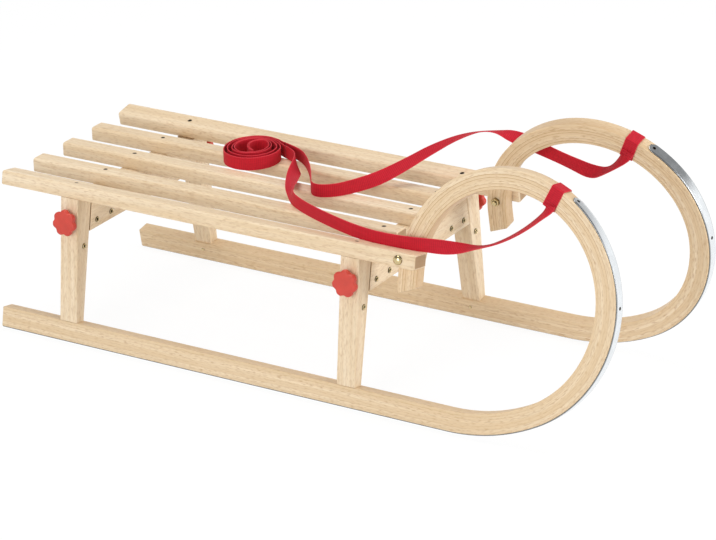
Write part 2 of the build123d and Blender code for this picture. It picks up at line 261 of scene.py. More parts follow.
def new_material(name):
    """Material with an empty node tree, and that tree."""
    material = bpy.data.materials.new(name)
    material.use_nodes = True
    material.node_tree.nodes.clear()
    return material, material.node_tree


def rgba(colour):
    """Colour with full alpha."""
    return (*colour, 1)


def beech(name, wood, ring, layer=None):
    """Beech, planed or bent, under thin lacquer: pale and warm, with slow bands, short flecks and a satin shine.

    Ring is the width of its rings, and layer the thickness of its bent layers, both in millimetres."""
    material, tree = new_material(name)
    grain = add(tree, "ShaderNodeAttribute", attribute_name="grain")["Vector"]
    end = add(tree, "ShaderNodeAttribute", attribute_name="end")["Fac"]
    # Each pattern's length along the grain and width across it in millimetres, its detail and its roughness.
    # Ray flecks are 2 mm by 0.3 mm and fibres 0.1 mm wide, too fine to show here, so both are drawn coarser
    patterns = (
        (700, 16, 3, 0.55),  # slow bands along the board
        (260, 45, 2, 0.5),  # the wave that bends rings and layers
        (10, 2, 1, 0.5),  # ray flecks
        (60, 1.1, 3, 0.6),  # fibres, for the bump and a faint streak
    )
    noises = []
    for length, width, detail, roughness in patterns:
        scale = (1 / length, 1 / width, 1 / width)
        place = add(tree, "ShaderNodeMapping", {"Vector": grain, "Scale": scale})["Vector"]
        noises.append(add(tree, "ShaderNodeTexNoise", {
            "Vector": place, "Scale": 1, "Detail": detail, "Roughness": roughness})["Fac"])
    band, warp, fleck_noise, fibres = noises
    # Rings, flat because the pith lies far outside the board, bent by the wave
    across = add(tree, "ShaderNodeVectorMath", {0: grain, 1: (0, 1, 0.45)}, operation="DOT_PRODUCT")["Value"]
    bent = add(tree, "ShaderNodeMath", {0: warp, 1: 26.0, 2: across}, operation="MULTIPLY_ADD")["Value"]
    phase = add(tree, "ShaderNodeMath", {0: bent, 1: tau / ring}, operation="MULTIPLY")["Value"]
    wave = add(tree, "ShaderNodeMath", {0: phase}, operation="SINE")["Value"]
    rings = add(tree, "ShaderNodeMapRange", {0: wave, 1: -0.2, 2: 1, 3: 0, 4: 0.3},
                interpolation_type="SMOOTHSTEP")[0]
    fleck_most = 0.66 if layer else 0.4
    flecks = add(tree, "ShaderNodeMapRange", {0: fleck_noise, 1: 0.5, 2: 0.74, 3: 0, 4: fleck_most})[0]
    tone = add(tree, "ShaderNodeMapRange", {0: band, 1: 0.3, 2: 0.72, 3: 0, 4: 0.75})[0]
    ground = add(tree, "ShaderNodeMix", {0: tone, 6: rgba(wood.pale), 7: rgba(wood.deep)}, data_type="RGBA")[2]
    ringed = add(tree, "ShaderNodeMix", {0: rings, 6: ground, 7: rgba(wood.deep)}, data_type="RGBA")[2]
    streak = add(tree, "ShaderNodeMapRange", {0: fibres, 1: 0.3, 2: 0.7, 3: 0.93, 4: 1.05})[0]
    streaked = add(tree, "ShaderNodeVectorMath", {0: ringed, 3: streak}, operation="SCALE")["Vector"]
    colour = add(tree, "ShaderNodeMix", {0: flecks, 6: streaked, 7: rgba(wood.fleck)}, data_type="RGBA")[2]
    if layer:
        # Each bent layer has its own tone, and its glue line, 0.1 mm wide, is drawn 1 mm wide so that it shows
        depth = add(tree, "ShaderNodeSeparateXYZ", {0: grain})["Z"]
        wavy = add(tree, "ShaderNodeMath", {0: warp, 1: 1.6, 2: depth}, operation="MULTIPLY_ADD")["Value"]
        count = add(tree, "ShaderNodeMath", {0: wavy, 1: layer}, operation="DIVIDE")["Value"]
        index = add(tree, "ShaderNodeMath", {0: count}, operation="FLOOR")["Value"]
        share = add(tree, "ShaderNodeMath", {0: count}, operation="FRACT")["Value"]
        own = add(tree, "ShaderNodeTexWhiteNoise", {"W": index}, noise_dimensions="1D")["Value"]
        own_tone = add(tree, "ShaderNodeMapRange", {0: own, 1: 0, 2: 1, 3: 0, 4: 0.7})[0]
        layered = add(tree, "ShaderNodeMix", {0: own_tone, 6: colour, 7: rgba(wood.deep)}, data_type="RGBA")[2]
        line = add(tree, "ShaderNodeMapRange", {0: share, 1: 0.0, 2: 0.22, 3: 1.5, 4: 0})[0]
        uneven = add(tree, "ShaderNodeMath", {0: line, 1: own}, operation="MULTIPLY")["Value"]
        # The layers part a little where they were bent most, so the lines show more in the horn
        bend = add(tree, "ShaderNodeAttribute", attribute_name="bend")["Fac"]
        faded = add(tree, "ShaderNodeMath", {0: uneven, 1: bend}, operation="MULTIPLY")["Value"]
        colour = add(tree, "ShaderNodeMix", {0: faded, 6: layered, 7: rgba(wood.fleck)}, data_type="RGBA")[2]
    ended = add(tree, "ShaderNodeMix", {0: end, 6: colour, 7: rgba(wood.end)}, data_type="RGBA")[2]
    rough = add(tree, "ShaderNodeMapRange", {0: fibres, 1: 0.2, 2: 0.8, 3: 0.42, 4: 0.56})[0]
    bump = add(tree, "ShaderNodeBump", {"Height": fibres, "Strength": 0.25, "Distance": 0.0003})["Normal"]
    shader = add(tree, "ShaderNodeBsdfPrincipled", {
        "Base Color": ended, "Roughness": rough, "Normal": bump, "IOR": 1.5, "Specular IOR Level": 0.4,
        "Coat Weight": 0.12, "Coat Roughness": 0.3})
    add(tree, "ShaderNodeOutputMaterial", {"Surface": shader[0]})
    return material


def galvanised_steel(metal):
    """Rolled strip, hot-dipped: cool grey with faint spangles and fine marks along it, clear but soft reflections."""
    material, tree = new_material("steel_galvanised_rolled")
    grain = add(tree, "ShaderNodeAttribute", attribute_name="grain")["Vector"]
    # Spangles about 9 mm across, and rolling marks 0.2 mm wide, drawn 0.8 mm wide so that they show
    cells = add(tree, "ShaderNodeTexVoronoi", {"Vector": grain, "Scale": 1 / 9})["Color"]
    cell = add(tree, "ShaderNodeSeparateColor", {0: cells})[0]
    mark_place = add(tree, "ShaderNodeMapping", {"Vector": grain, "Scale": (1 / 90, 1 / 0.8, 1 / 0.8)})["Vector"]
    marks = add(tree, "ShaderNodeTexNoise", {"Vector": mark_place, "Scale": 1, "Detail": 3})["Fac"]
    mixed = add(tree, "ShaderNodeMath", {0: cell, 1: 0.35, 2: marks}, operation="MULTIPLY_ADD")["Value"]
    tone = add(tree, "ShaderNodeMapRange", {0: mixed, 1: 0.3, 2: 1.0, 3: 0.9, 4: 1.03})[0]
    # The rolled edges, the outer 2 mm, are darkened as painted shade
    across = add(tree, "ShaderNodeSeparateXYZ", {0: grain})["Y"]
    reach = add(tree, "ShaderNodeMath", {0: across}, operation="ABSOLUTE")["Value"]
    edge_shade = add(tree, "ShaderNodeMapRange", {0: reach, 1: 7.9, 2: 9.5, 3: 1, 4: 0.34})[0]
    both = add(tree, "ShaderNodeMath", {0: tone, 1: edge_shade}, operation="MULTIPLY")["Value"]
    colour = add(tree, "ShaderNodeVectorMath", {0: metal.galvanised, 3: both}, operation="SCALE")["Vector"]
    rough = add(tree, "ShaderNodeMapRange", {0: mixed, 1: 0.3, 2: 1.0, 3: 0.14, 4: 0.26})[0]
    bump = add(tree, "ShaderNodeBump", {"Height": marks, "Strength": 0.12, "Distance": 0.0002})["Normal"]
    shader = add(tree, "ShaderNodeBsdfPrincipled", {
        "Base Color": colour, "Roughness": rough, "Normal": bump, "Metallic": 1})
    add(tree, "ShaderNodeOutputMaterial", {"Surface": shader[0]})
    return material


def plated_steel(name, colour, low, high):
    """Pressed or turned steel with a thin coat, a little clouded; low and high are its roughness, clear and clouded.

    A finish that is there already is used again."""
    if name in bpy.data.materials:
        return bpy.data.materials[name]
    material, tree = new_material(name)
    place = add(tree, "ShaderNodeTexCoord")["Object"]
    # Clouds in the coat about 6 mm across
    cloud = add(tree, "ShaderNodeTexNoise", {"Vector": place, "Scale": 1 / (6 * MM), "Detail": 5})["Fac"]
    tone = add(tree, "ShaderNodeMapRange", {0: cloud, 1: 0.3, 2: 0.7, 3: 0.84, 4: 1.05})[0]
    coat = add(tree, "ShaderNodeVectorMath", {0: colour, 3: tone}, operation="SCALE")["Vector"]
    # Painted shade with some tarnish: darker in corners, in hollows and where parts meet
    shade_and_tarnish_share = add(tree, "ShaderNodeAttribute", attribute_name="tarnish")["Fac"]
    shaded_coat = add(tree, "ShaderNodeMix", {0: shade_and_tarnish_share, 6: coat, 7: rgba(linear("#2E2418"))}, data_type="RGBA")[2]
    rough = add(tree, "ShaderNodeMapRange", {0: cloud, 1: 0.3, 2: 0.7, 3: low, 4: high})[0]
    shader = add(tree, "ShaderNodeBsdfPrincipled", {"Base Color": shaded_coat, "Roughness": rough, "Metallic": 1})
    add(tree, "ShaderNodeOutputMaterial", {"Surface": shader[0]})
    return material


def bright_zinc(metal):
    """Bright zinc on the hinge plates: warm silver that mirrors the light and the dark gaps about it."""
    return plated_steel("steel_zinc_plated", metal.zinc, 0.08, 0.18)


def yellow_zinc(metal):
    """Bolts, nuts, rivets and pins with yellow-passivated zinc: pale brass colour, bright rims round hollows darkened
    by painted shade.
    """
    return plated_steel("steel_zinc_yellow_passivated", metal.yellow, 0.16, 0.3)


def phosphated_steel(metal):
    """Screws phosphated and oiled: nearly black with a dull shine on their rims."""
    return plated_steel("steel_phosphated", metal.dark, 0.3, 0.46)


def moulded_plastic(knob):
    """Polyamide from an eroded mould: matt, even colour with a fine pebble that softens its highlights."""
    material, tree = new_material("polyamide_moulded_matt")
    place = add(tree, "ShaderNodeTexCoord")["Object"]
    # The pebble is 0.2 mm and is drawn 0.7 mm wide so that it shows; marks of the flow are about 14 mm wide
    pebble = add(tree, "ShaderNodeTexNoise", {"Vector": place, "Scale": 1 / (0.7 * MM), "Detail": 2})["Fac"]
    flow = add(tree, "ShaderNodeTexNoise", {"Vector": place, "Scale": 1 / (14 * MM), "Detail": 3})["Fac"]
    tone = add(tree, "ShaderNodeMapRange", {0: flow, 1: 0.3, 2: 0.7, 3: 0.92, 4: 1.06})[0]
    colour = add(tree, "ShaderNodeVectorMath", {0: knob.colour, 3: tone}, operation="SCALE")["Vector"]
    rough = add(tree, "ShaderNodeMapRange", {0: pebble, 1: 0.3, 2: 0.7, 3: 0.42, 4: 0.56})[0]
    bump = add(tree, "ShaderNodeBump", {"Height": pebble, "Strength": 0.2, "Distance": 0.0002})["Normal"]
    shader = add(tree, "ShaderNodeBsdfPrincipled", {
        "Base Color": colour, "Roughness": rough, "Normal": bump, "IOR": 1.53})
    add(tree, "ShaderNodeOutputMaterial", {"Surface": shader[0]})
    return material


def woven_webbing(strap):
    """Woven polyester band: ribs across it, warp columns along it, close selvedges painted paler as a highlight, and
    a dull sheen.
    """
    material, tree = new_material("polyester_woven_webbing")
    weave = add(tree, "ShaderNodeAttribute", attribute_name="weave")["Vector"]
    along, across, _ = add(tree, "ShaderNodeSeparateXYZ", {0: weave}).values()
    # Ribs are about 1.2 mm apart on the real band and are drawn coarser, so that they show
    turn = add(tree, "ShaderNodeMath", {0: along, 1: tau * MM / strap.rib}, operation="MULTIPLY")["Value"]
    rib = add(tree, "ShaderNodeMath", {0: turn}, operation="SINE")["Value"]
    # Warp columns are about 1 mm apart on the real band and are drawn 2.1 mm apart, eleven in its width
    column_turn = add(tree, "ShaderNodeMath", {0: across, 1: tau / 2.1}, operation="MULTIPLY")["Value"]
    column = add(tree, "ShaderNodeMath", {0: column_turn}, operation="COSINE")["Value"]
    relief = add(tree, "ShaderNodeMath", {0: column, 1: 0.35, 2: rib}, operation="MULTIPLY_ADD")["Value"]
    edge = add(tree, "ShaderNodeMath", {0: across}, operation="ABSOLUTE")["Value"]
    # Painted highlight: the selvedges, the outer 1.5 mm of each edge, are painted paler
    selvedge_highlight = add(tree, "ShaderNodeMapRange", {0: edge, 1: 10, 2: 10.8, 3: 0, 4: 0.55})[0]
    dye_place = add(tree, "ShaderNodeMapping", {"Vector": weave, "Scale": (1 / 30, 1 / 2, 1)})["Vector"]
    dye = add(tree, "ShaderNodeTexNoise", {"Vector": dye_place, "Scale": 1, "Detail": 4})["Fac"]
    # Painted shade: the weave's relief is painted into the colour, darker in its hollows and lighter on its crests
    shade = add(tree, "ShaderNodeMapRange", {0: relief, 1: -1.35, 2: 1.35, 3: 0.8, 4: 1.06})[0]
    uneven = add(tree, "ShaderNodeMapRange", {0: dye, 1: 0.3, 2: 0.7, 3: 0.9, 4: 1.06})[0]
    both = add(tree, "ShaderNodeMath", {0: shade, 1: uneven}, operation="MULTIPLY")["Value"]
    ground = add(tree, "ShaderNodeVectorMath", {0: strap.colour, 3: both}, operation="SCALE")["Vector"]
    pale = tuple(min(1, c * 1.25 + 0.05) for c in strap.colour)
    colour = add(tree, "ShaderNodeMix", {0: selvedge_highlight, 6: ground, 7: rgba(pale)}, data_type="RGBA")[2]
    bump = add(tree, "ShaderNodeBump", {"Height": relief, "Strength": 0.35, "Distance": 0.0003})["Normal"]
    shader = add(tree, "ShaderNodeBsdfPrincipled", {
        "Base Color": colour, "Roughness": 0.72, "Normal": bump, "Specular IOR Level": 0.3,
        "Sheen Weight": 0.07, "Sheen Roughness": 0.5, "Sheen Tint": (1, 0.45, 0.45, 1)})
    add(tree, "ShaderNodeOutputMaterial", {"Surface": shader[0]})
    return material


def sewing_thread(strap):
    """Twisted polyester thread: fine slanted ridges and a faint sheen, a little darker than the webbing."""
    material, tree = new_material("polyester_sewing_thread")
    place = add(tree, "ShaderNodeTexCoord")["Object"]
    # The twist's ridges are 0.3 mm apart and are drawn 0.6 mm apart so that they show
    ridge_place = add(tree, "ShaderNodeMapping", {"Vector": place, "Rotation": (0.5, 0.4, 0.6)})["Vector"]
    ridge = add(tree, "ShaderNodeTexWave", {"Vector": ridge_place, "Scale": tau / 20 / (0.6 * MM)})["Fac"]
    # Painted shade: the twist's ridges are painted as darker and lighter stripes
    tone = add(tree, "ShaderNodeMapRange", {0: ridge, 1: 0, 2: 1, 3: 0.6, 4: 0.95})[0]
    colour = add(tree, "ShaderNodeVectorMath", {0: strap.colour, 3: tone}, operation="SCALE")["Vector"]
    shader = add(tree, "ShaderNodeBsdfPrincipled", {"Base Color": colour, "Roughness": 0.6, "Sheen Weight": 0.1})
    add(tree, "ShaderNodeOutputMaterial", {"Surface": shader[0]})
    return material


def seen_rays(tree):
    """One for the rays that see the stage as it is: from the camera, off metal or through glass."""
    path = add(tree, "ShaderNodeLightPath")
    total = path["Is Camera Ray"]
    for kind in ("Is Glossy Ray", "Is Transmission Ray"):
        total = add(tree, "ShaderNodeMath", {0: total, 1: path[kind]}, operation="ADD")["Value"]
    return total


def white_floor():
    """Matt white paint: plain white to the camera and in metal, with the sled's soft shadow left on it."""
    material, tree = new_material("floor_matt_white")
    share = add(tree, "ShaderNodeMath", {0: seen_rays(tree), 1: 0.86}, operation="MULTIPLY", use_clamp=True)["Value"]
    matt = add(tree, "ShaderNodeBsdfDiffuse", {"Color": (0.8, 0.8, 0.8, 1)})[0]
    white = add(tree, "ShaderNodeEmission", {"Color": (1, 1, 1, 1), "Strength": 1.05})[0]
    mixed = add(tree, "ShaderNodeMixShader", {0: share, 1: matt, 2: white})[0]
    add(tree, "ShaderNodeOutputMaterial", {"Surface": mixed})
    return material


def studio(ambient):
    """World of even light, in which the camera and metal see a white sweep with a grey room over it."""
    world = bpy.data.worlds.new("studio")
    world.use_nodes = True
    tree = world.node_tree
    tree.nodes.clear()
    # The sweep is white up to 12 degrees above the horizon and fades into the room by 22 degrees
    way = add(tree, "ShaderNodeTexCoord")["Generated"]
    height = add(tree, "ShaderNodeSeparateXYZ", {0: way})["Z"]
    room = add(tree, "ShaderNodeMapRange", {0: height, 1: 0.2, 2: 0.37, 3: 1, 4: 0.27})[0]
    level = add(tree, "ShaderNodeMapRange", {0: seen_rays(tree), 3: ambient, 4: room})[0]
    background = add(tree, "ShaderNodeBackground", {"Color": (1, 1, 1, 1), "Strength": level})[0]
    add(tree, "ShaderNodeOutputWorld", {"Surface": background})
    return world


def turn_outwards(mesh):
    """Turns each closed shell's faces outwards."""
    shell = bmesh.new()
    shell.from_mesh(mesh)
    bmesh.ops.recalc_face_normals(shell, faces=shell.faces)
    shell.to_mesh(mesh)
    shell.free()


def finish_mesh(mesh, material):
    """Smooth faces whose normals follow the larger faces, so that flat sides stay flat up to their rounded edges."""
    mesh.validate()
    mesh.materials.append(material)
    mesh.polygons.foreach_set("use_smooth", [True] * len(mesh.polygons))
    normals = np.zeros((len(mesh.vertices), 3))
    for face in mesh.polygons:
        normals[list(face.vertices)] += np.array(face.normal) * face.area
    lengths = np.linalg.norm(normals, axis=1)
    mesh.normals_split_custom_set_from_vertices(normals / np.maximum(lengths, 1e-12)[:, None])


def build(name, body, slot, material, points, faces, attributes=(), nodes=()):
    """Object of the given points and faces that rides on a body and stands for CAD nodes."""
    mesh = bpy.data.meshes.new(name)
    mesh.from_pydata([tuple(p) for p in points], [], faces)
    turn_outwards(mesh)
    for label, kind, values in attributes:
        layer = mesh.attributes.new(label, kind, "POINT")
        layer.data.foreach_set("vector" if kind == "FLOAT_VECTOR" else "value", np.ravel(values))
    finish_mesh(mesh, material)
    piece = bpy.data.objects.new(name, mesh)
    bpy.context.scene.collection.objects.link(piece)
    if body:
        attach(piece, body)
    if nodes:
        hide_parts(*nodes)
    return piece


def gather(parts):
    """Points, faces and painted shade of several turned shapes as one."""
    points, faces, tarnish = [], [], []
    for more_points, more_faces, ((_, _, values),) in parts:
        faces += [tuple(index + len(points) for index in face) for face in more_faces]
        points += more_points
        tarnish += values
    return points, faces, (("tarnish", "FLOAT", tarnish),)


def drilled(wood, tools):
    """Points and faces of a wooden shell with the tools' shells taken out of it."""
    solids = []
    for label, (points, faces) in (("wood", wood), ("tools", tools[:2])):
        mesh = bpy.data.meshes.new(label)
        mesh.from_pydata([tuple(p) for p in points], [], faces)
        turn_outwards(mesh)
        solids.append(bpy.data.objects.new(label, mesh))
        bpy.context.scene.collection.objects.link(solids[-1])
    cut = solids[0].modifiers.new("holes", "BOOLEAN")
    cut.operation, cut.solver, cut.object = "DIFFERENCE", "EXACT", solids[1]
    bpy.context.view_layer.update()
    mesh = bpy.data.meshes.new_from_object(solids[0].evaluated_get(bpy.context.evaluated_depsgraph_get()))
    points = [vertex.co.copy() for vertex in mesh.vertices]
    faces = [tuple(face.vertices) for face in mesh.polygons]
    bpy.data.meshes.remove(mesh)
    for solid in solids:
        bpy.data.meshes.remove(solid.data)
    return points, faces


def skin(rings, capped=True):
    """Points and faces of a skin over closed rings of equal length."""
    count = len(rings[0])
    points = [point for ring in rings for point in ring]
    faces = []
    for i in range(len(rings) - 1):
        for k in range(count):
            a, b = i * count + k, i * count + (k + 1) % count
            faces.append((a, b, b + count, a + count))
    if capped:
        faces.append(tuple(reversed(range(count))))
        faces.append(tuple(range(len(points) - count, len(points))))
    return points, faces


def rounded(low, high, radii, inset=0, steps=4, least=0.3):
    """Outline of a rectangle with its own radius at each corner, from the low corner round by the first axis."""
    corners = ((low[0], low[1], 180), (high[0], low[1], 270), (high[0], high[1], 0), (low[0], high[1], 90))
    outline = []
    for (u, v, start), radius in zip(corners, radii):
        u += inset if u == low[0] else -inset
        v += inset if v == low[1] else -inset
        radius = max(radius - inset, least)
        centre_u = u + radius if start in (180, 90) else u - radius
        centre_v = v + radius if start in (180, 270) else v - radius
        for step in range(steps + 1):
            angle = radians(start + 90 * step / steps)
            outline.append((centre_u + radius * cos(angle), centre_v + radius * sin(angle)))
    return outline


def end_steps(radius, steps=3):
    """Distance from the end and inset of the rings that round an end."""
    turns = [radians(90 * step / steps) for step in range(steps + 1)]
    return [(radius * (1 - sin(turn)), radius * (1 - cos(turn))) for turn in turns]


def affine(place):
    """Matrix of a place that turns along, u and v in millimetres evenly into a point."""
    origin = place(0, 0, 0)
    matrix = Matrix([place(*step) - origin for step in ((1, 0, 0), (0, 1, 0), (0, 0, 1))]).transposed().to_4x4()
    matrix.translation = origin
    return matrix


def board(node, body, material, low, high, radii, first, last, place, seed, end_radius, holes=()):
    """Planed piece for a node, of rectangular section, from first to last along its grain.

    Place turns along, u and v into a point. Holes are places along and across its upper face,
    drilled for sunk screws."""
    end_tone, close = 0.85, 0.01
    stops = [(first + distance, inset) for distance, inset in reversed(end_steps(end_radius))]
    stops += [(first + (last - first) * share, 0) for share in (0.2, 0.4, 0.6, 0.8)]
    stops += [(last - distance, inset) for distance, inset in end_steps(end_radius)]
    rings, grain, ends = [], [], []
    for along, inset in stops:
        bounds = (low(along), high(along)) if callable(low) else (low, high)
        outline = rounded(*bounds, radii, inset)
        rings.append([place(along, u, v) for u, v in outline])
        grain += [(along, u, v) for u, v in outline]
        ends += [end_tone if along in (first, last) else 0.0] * len(outline)
    points, faces = skin(rings)
    if holes:
        even = affine(place)
        bore = ((2.2, -4.5, 0), (3.4, -3.4, 0), (3.9, -0.8, 0), (4.2, 0.1, 0), (4.2, 2, 0))
        bores = [turned(bore, even @ Matrix.Translation((along, u, high[1])), 24) for along, u in holes]
        points, faces = drilled((points, faces), gather(bores))
        grain = [tuple(even.inverted() @ point) for point in points]
        ends = [end_tone if min(along - first, last - along) < close else 0.0 for along, _, _ in grain]
    # Each board is cut from another place in the figure
    grain = [(along + 977.0 * seed, u + 131.0 * seed, v + 57.0 * seed) for along, u, v in grain]
    build(f"{node}_wood", body, "planed_wood", material, points, faces,
          (("grain", "FLOAT_VECTOR", grain), ("end", "FLOAT", ends)), (node,))


def turned(rows, place, count=40, lobes=1, flats=0):
    """Points, faces and painted shade of a turned shape.

    Rows give radius, height, depth of the hollows between lobes, and painted shade with some tarnish, darkest in
    corners and hollows, where there is any. Flats is the width across the six flats of a nut, which cut the round
    shape off."""
    sixth, lobe_power = tau / 6, 1.6
    rings, tarnish = [], []
    for radius, height, dip, *shade_and_tarnish_share in rows:
        ring = []
        for k in range(count):
            angle = tau * k / count
            reach = radius - dip * ((1 - cos(lobes * angle)) / 2) ** lobe_power
            if flats:
                reach = min(reach, flats / 2 / cos((angle + sixth / 2) % sixth - sixth / 2))
            ring.append(place @ Vector((reach * cos(angle), reach * sin(angle), height)))
        rings.append(ring)
        tarnish += (shade_and_tarnish_share or [0.0]) * count
    return (*skin(rings), (("tarnish", "FLOAT", tarnish),))


def facing(origin, outwards, x_dir=(1, 0, 0)):
    """Matrix of a place in millimetres whose Z axis points outwards."""
    z = Vector(outwards).normalized()
    y = z.cross(Vector(x_dir)).normalized()
    x = y.cross(z)
    matrix = (Matrix((x, y, z)).transposed() * MM).to_4x4()
    matrix.translation = origin
    return matrix


def side_normal(side):
    """Outward normal of a side frame."""
    return Vector((0, side * LEAN_COS, LEAN_SIN))


def leg_outer(height):
    """Depth of a leg's outer face, which spreads from the runner up to the outer slat."""
    return -SLAT_OVERHANG * (height - RUNNER_DEPTH) / (OUTER_SLAT_HEIGHT - RUNNER_DEPTH)


def horn_depth(x):
    """Depth of the horn's outer face: drawn inwards from its front to its end."""
    share = (X_DRAW_START - x) / (X_DRAW_START - X_SLAT_FRONT)
    return LIMB_INSET * min(max(share, 0), 1)


def polar(x, height, radius, angle):
    """Point of a circle in a side frame, by its angle above the horizontal."""
    return x + radius * cos(radians(angle)), height + radius * sin(radians(angle))


def horn_point(radius, angle):
    """Point of a side frame by its radius and angle about the horn's middle."""
    return polar(X_HORN, BOW_HEIGHT, radius, angle)


def runner_stations():
    """Along the runner: its running face, its upper face and whether it belongs to the horn."""
    stations = []
    for x in np.linspace(X_RUNNER_BACK, X_UPSWEEP, 16)[:-1]:
        stations.append(((x, 0), (x, RUNNER_DEPTH), False))
    # Each arc's middle, radius, first and last angle, how many steps it has and whether it belongs to the horn
    arcs = (
        (X_UPSWEEP, UPSWEEP_RADIUS, UPSWEEP_RADIUS, -90, UPSWEEP_TURN - 90, 12, False),
        (X_BOW, BOW_HEIGHT, BOW_RADIUS, UPSWEEP_TURN - 90, 0, 25, False),
        (X_HORN, BOW_HEIGHT, HORN_RADIUS, 0, 180, 72, True),
    )
    for x, height, radius, first, last, count, horn in arcs:
        for angle in np.linspace(first, last, count + 1)[:-1]:
            inner = polar(x, height, radius - RUNNER_DEPTH, angle)
            stations.append((polar(x, height, radius, angle), inner, horn))
    return stations


def build_runner(name, side, material):
    """Runner and horn, one bent piece whose grain and layers follow its line."""
    edge, end_tone, close = 1.8, 0.8, 1e-6
    # The layers' lines are faint on the runner and grow clear along the first part of the horn
    faint, growth = 0.25, 160
    rows = []
    for distance, inset in reversed(end_steps(edge)):
        x = X_RUNNER_BACK + distance
        rows.append(((x, 0), (x, RUNNER_DEPTH), False, inset, 0))
    rows += [(outer, inner, horn, 0, 0) for outer, inner, horn in runner_stations()[1:]]
    limb = [(BOW_HEIGHT, 0, 0), (BOW_HEIGHT - 12, 0, 0)]
    limb += [(BOW_HEIGHT - LIMB_DROP + distance, inset, LIMB_CUT) for distance, inset in end_steps(edge)]
    for height, inset, cut in limb:
        rows.append(((X_LIMB_BACK, height), (X_LIMB_BACK + RUNNER_DEPTH, height), True, inset, cut))
    rings, grain, ends, bends = [], [], [], []
    along, previous, bend = 0, None, faint
    for outer, inner, horn, inset, cut in rows:
        middle = Vector(((outer[0] + inner[0]) / 2, (outer[1] + inner[1]) / 2))
        step = (middle - previous).length if previous else 0
        along += step
        if horn:
            bend = min(1, bend + (1 - faint) * step / growth)
        previous = middle
        ring = []
        for depth, across in rounded((0, 0), (RUNNER_DEPTH, RUNNER_WIDTH), (edge,) * 4, inset):
            share = depth / RUNNER_DEPTH
            x = outer[0] + (inner[0] - outer[0]) * share
            height = outer[1] + (inner[1] - outer[1]) * share + max(0, depth - RUNNER_DEPTH + cut)
            ring.append(side_point(side, x, height, across + (horn_depth(x) if horn else 0)))
            # Each runner is cut from another place in the figure
            grain.append((along + 700 * (side + 2), across + 90 * (side + 2), depth))
            ends.append(end_tone if inset >= edge - close else 0)
            bends.append(bend)
        rings.append(ring)
    build(f"runner_{name}", f"side_{name}", "bent_wood", material, *skin(rings),
          (("grain", "FLOAT_VECTOR", grain), ("end", "FLOAT", ends), ("bend", "FLOAT", bends)), (f"runner_{name}",))


def strip_place(side, angle, rise):
    """Point on the horn's running strip at an angle, a little way off the wood, and the way it faces."""
    x, height = horn_point(HORN_RADIUS + rise, angle)
    across = RUNNER_WIDTH / 2 + horn_depth(x)
    point = side_point(side, x, height, across)
    return point, point - side_point(side, *horn_point(HORN_RADIUS, angle), across)


def build_strip(name, side, material):
    """Running strip with rolled edges on the runner's sole and up the front of its horn, where its end is round."""
    half = STRIP_WIDTH / 2
    angles = [(angle, 1) for angle in np.linspace(0, STRIP_END - 4, 23)]
    # The round end, by its distance from the tip
    for distance in (10, 8, 6, 4, 2.5, 1.2, 0.4, 0.05):
        width = sqrt(1 - (1 - distance / half) ** 2)
        angles.append((STRIP_END - distance / HORN_RADIUS * 360 / tau, width))
    rows = [(outer, inner, 1, False) for outer, inner, horn in runner_stations() if not horn]
    for angle, width in angles:
        rows.append((horn_point(HORN_RADIUS, angle), horn_point(HORN_RADIUS - RUNNER_DEPTH, angle), width, True))
    # Half of the section, in shares of the half width and of the thickness
    edge = ((-1, -0.15), (-1, 0.5), (-0.97, 0.8), (-0.9, 0.95), (-0.6, 1), (0, 1))
    outline = edge + tuple((-u, v) for u, v in reversed(edge[:-1]))
    rings, grain = [], []
    along, previous = 0, None
    for outer, inner, width, horn in rows:
        along += (Vector(outer) - previous).length if previous else 0
        previous = Vector(outer)
        out = (Vector(outer) - Vector(inner)) / RUNNER_DEPTH
        drawn = horn_depth(outer[0]) if horn else 0
        ring = []
        for u, v in outline:
            x, height = Vector(outer) + out * STRIP_THICKNESS * v
            ring.append(side_point(side, x, height, RUNNER_WIDTH / 2 + u * half * width + drawn))
            grain.append((along + 800 * side, u * half * width, STRIP_THICKNESS * v))
        rings.append(ring)
    node = f"running_strip_{name}"
    build(f"{node}_steel", f"side_{name}", "running_steel", material, *skin(rings),
          (("grain", "FLOAT_VECTOR", grain),), (node,))


def nurbs_points(name, rows):
    """Points of the NURBS line whose control points are the given places in metres."""
    curve = bpy.data.curves.new(name, "CURVE")
    curve.dimensions = "3D"
    spline = curve.splines.new("NURBS")
    spline.points.add(len(rows) - 1)
    for point, row in zip(spline.points, rows):
        point.co = (*row, 1)
    spline.order_u = 3
    spline.use_endpoint_u = True
    spline.resolution_u = 10
    holder = bpy.data.objects.new(name, curve)
    bpy.context.scene.collection.objects.link(holder)
    bpy.context.view_layer.update()
    mesh = bpy.data.meshes.new_from_object(holder.evaluated_get(bpy.context.evaluated_depsgraph_get()))
    points = np.array([v.co for v in mesh.vertices])
    bpy.data.objects.remove(holder)
    bpy.data.curves.remove(curve)
    bpy.data.meshes.remove(mesh)
    return points


def band_outline():
    """Section of the webbing: across its width and through its thickness, in millimetres."""
    half, thick = WEBBING_WIDTH / 2, WEBBING_THICKNESS / 2
    top = [(half - 1.2, thick), (half / 2, thick), (0, thick), (-half / 2, thick), (1.2 - half, thick)]
    left = [(0.25 - half, thick * 0.6), (-half, 0), (0.25 - half, -thick * 0.6)]
    bottom = [(-u, -v) for u, v in top]
    right = [(-u, -v) for u, v in left]
    return top + left + bottom + right


